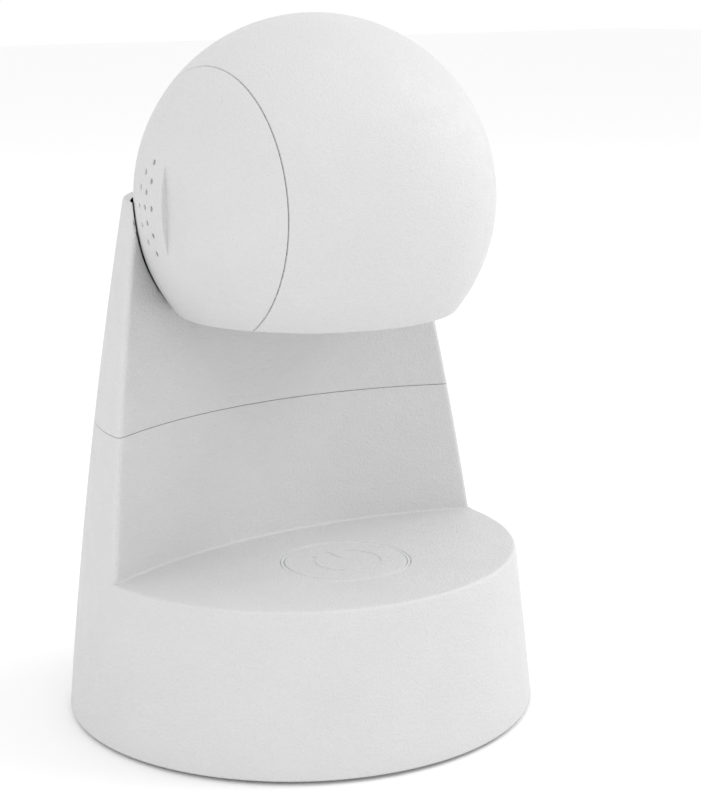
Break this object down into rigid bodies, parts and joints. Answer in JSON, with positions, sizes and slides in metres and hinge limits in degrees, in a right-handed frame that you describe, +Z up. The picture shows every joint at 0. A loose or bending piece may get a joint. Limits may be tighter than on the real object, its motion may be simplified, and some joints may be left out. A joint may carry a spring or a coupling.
{
  "type": "security camera",
  "caption": "White desk security camera: a ball head pans in the hollow of a crescent column on a tapered round base with a call button; the lens eyeball tilts.",
  "frame": {"origin": "middle of the footprint, on the surface that the rubber feet stand on", "axes": "+Z up; -Y is the front, where the call button is; the column stands at +Y; the head is stored turned a quarter turn, lens along +X"},
  "size_m": [0.0898, 0.0898, 0.1311],
  "materials": {
    "white_plastic": "moulded white ABS with a fine spark-eroded grain",
    "light_guide": "milky light guide",
    "black_plastic": "fine matte black ABS",
    "black_acrylic": "polished infrared-passing acrylic",
    "grey_plastic": "plain moulded",
    "acetal": "natural acetal",
    "rubber": "matte",
    "steel": "plain bright",
    "zinc_plate": "zinc plated",
    "circuit_board": "green solder mask",
    "lens_glass": "coated glass",
    "led_epoxy": "clear dark epoxy",
    "flex_film": "polyimide film"
  },
  "bodies": {
    "stand": {"base_housing": "white_plastic", "upper_column": "white_plastic", "bottom_plate": "white_plastic", "foot_1": "rubber", "foot_2": "rubber", "foot_3": "rubber", "foot_4": "rubber", "base_screw_1": "steel", "base_screw_2": "steel", "base_screw_3": "steel", "base_screw_4": "steel", "column_screw_left": "steel", "column_screw_right": "steel", "ballast_weight": "zinc_plate", "base_board": "circuit_board", "button_switch": "black_plastic", "power_board": "circuit_board", "usb_socket": "steel", "button_ring": "light_guide", "button_spring": "steel", "ribbon_cable": "flex_film", "pan_post": "steel", "pan_gear": "acetal", "pan_clip": "steel"},
    "call_button": {"call_button": "white_plastic"},
    "head": {"head_shell": "white_plastic", "rear_cover": "white_plastic", "head_floor": "white_plastic", "pan_motor": "zinc_plate", "motor_screw_1": "steel", "motor_screw_2": "steel", "speaker": "black_plastic", "head_board": "circuit_board", "wifi_module": "zinc_plate", "antenna": "circuit_board", "lens_bezel": "black_plastic", "tilt_frame": "grey_plastic", "microphone": "black_plastic", "tilt_motor": "zinc_plate"},
    "pan_pinion": {"pan_pinion": "acetal"},
    "tilt_pinion": {"tilt_pinion": "acetal"},
    "lens_unit": {"eyeball_shell": "white_plastic", "lens_carrier": "grey_plastic", "tilt_pin_left": "steel", "tilt_pin_right": "steel", "tilt_gear": "acetal", "sensor_board": "circuit_board", "lens_barrel": "black_plastic", "lens_glass": "lens_glass", "face_window": "black_acrylic", "light_board": "circuit_board", "infrared_led_1": "led_epoxy", "infrared_led_2": "led_epoxy", "infrared_led_3": "led_epoxy", "infrared_led_4": "led_epoxy", "infrared_led_5": "led_epoxy", "infrared_led_6": "led_epoxy"}
  },
  "joints": [
    {"name": "pan", "type": "hinge", "parent": "stand", "child": "head", "pos_m": [0, -0.00704, 0.0981], "axis": [0, 0, 1], "range_deg": [-260, 80]},
    {"name": "tilt", "type": "hinge", "parent": "head", "child": "lens_unit", "pos_m": [0.01521, -0.00704, 0.0981], "axis": [0, -1, 0], "range_deg": [-35, 35]},
    {"name": "pan_pinion_spin", "type": "hinge", "parent": "head", "child": "pan_pinion", "pos_m": [-0.00955, -0.00704, 0.0799], "axis": [0, 0, 1], "range_deg": [-564, 174]},
    {"name": "tilt_pinion_spin", "type": "hinge", "parent": "head", "child": "tilt_pinion", "pos_m": [0.00216, -0.00704, 0.0981], "axis": [0, -1, 0], "range_deg": [-117, 117]},
    {"name": "button_press", "type": "slide", "parent": "stand", "child": "call_button", "axis": [0, 0, -1], "range_m": [0, 0.0006], "stiffness_N_per_m": 600, "springref_m": -0.0005, "deforming": ["button_spring"]}
  ],
  "couplings": [
    {"joint": "pan_pinion_spin", "follows": "pan", "ratio": 2.1667},
    {"joint": "tilt_pinion_spin", "follows": "tilt", "ratio": -3.3333}
  ]
}
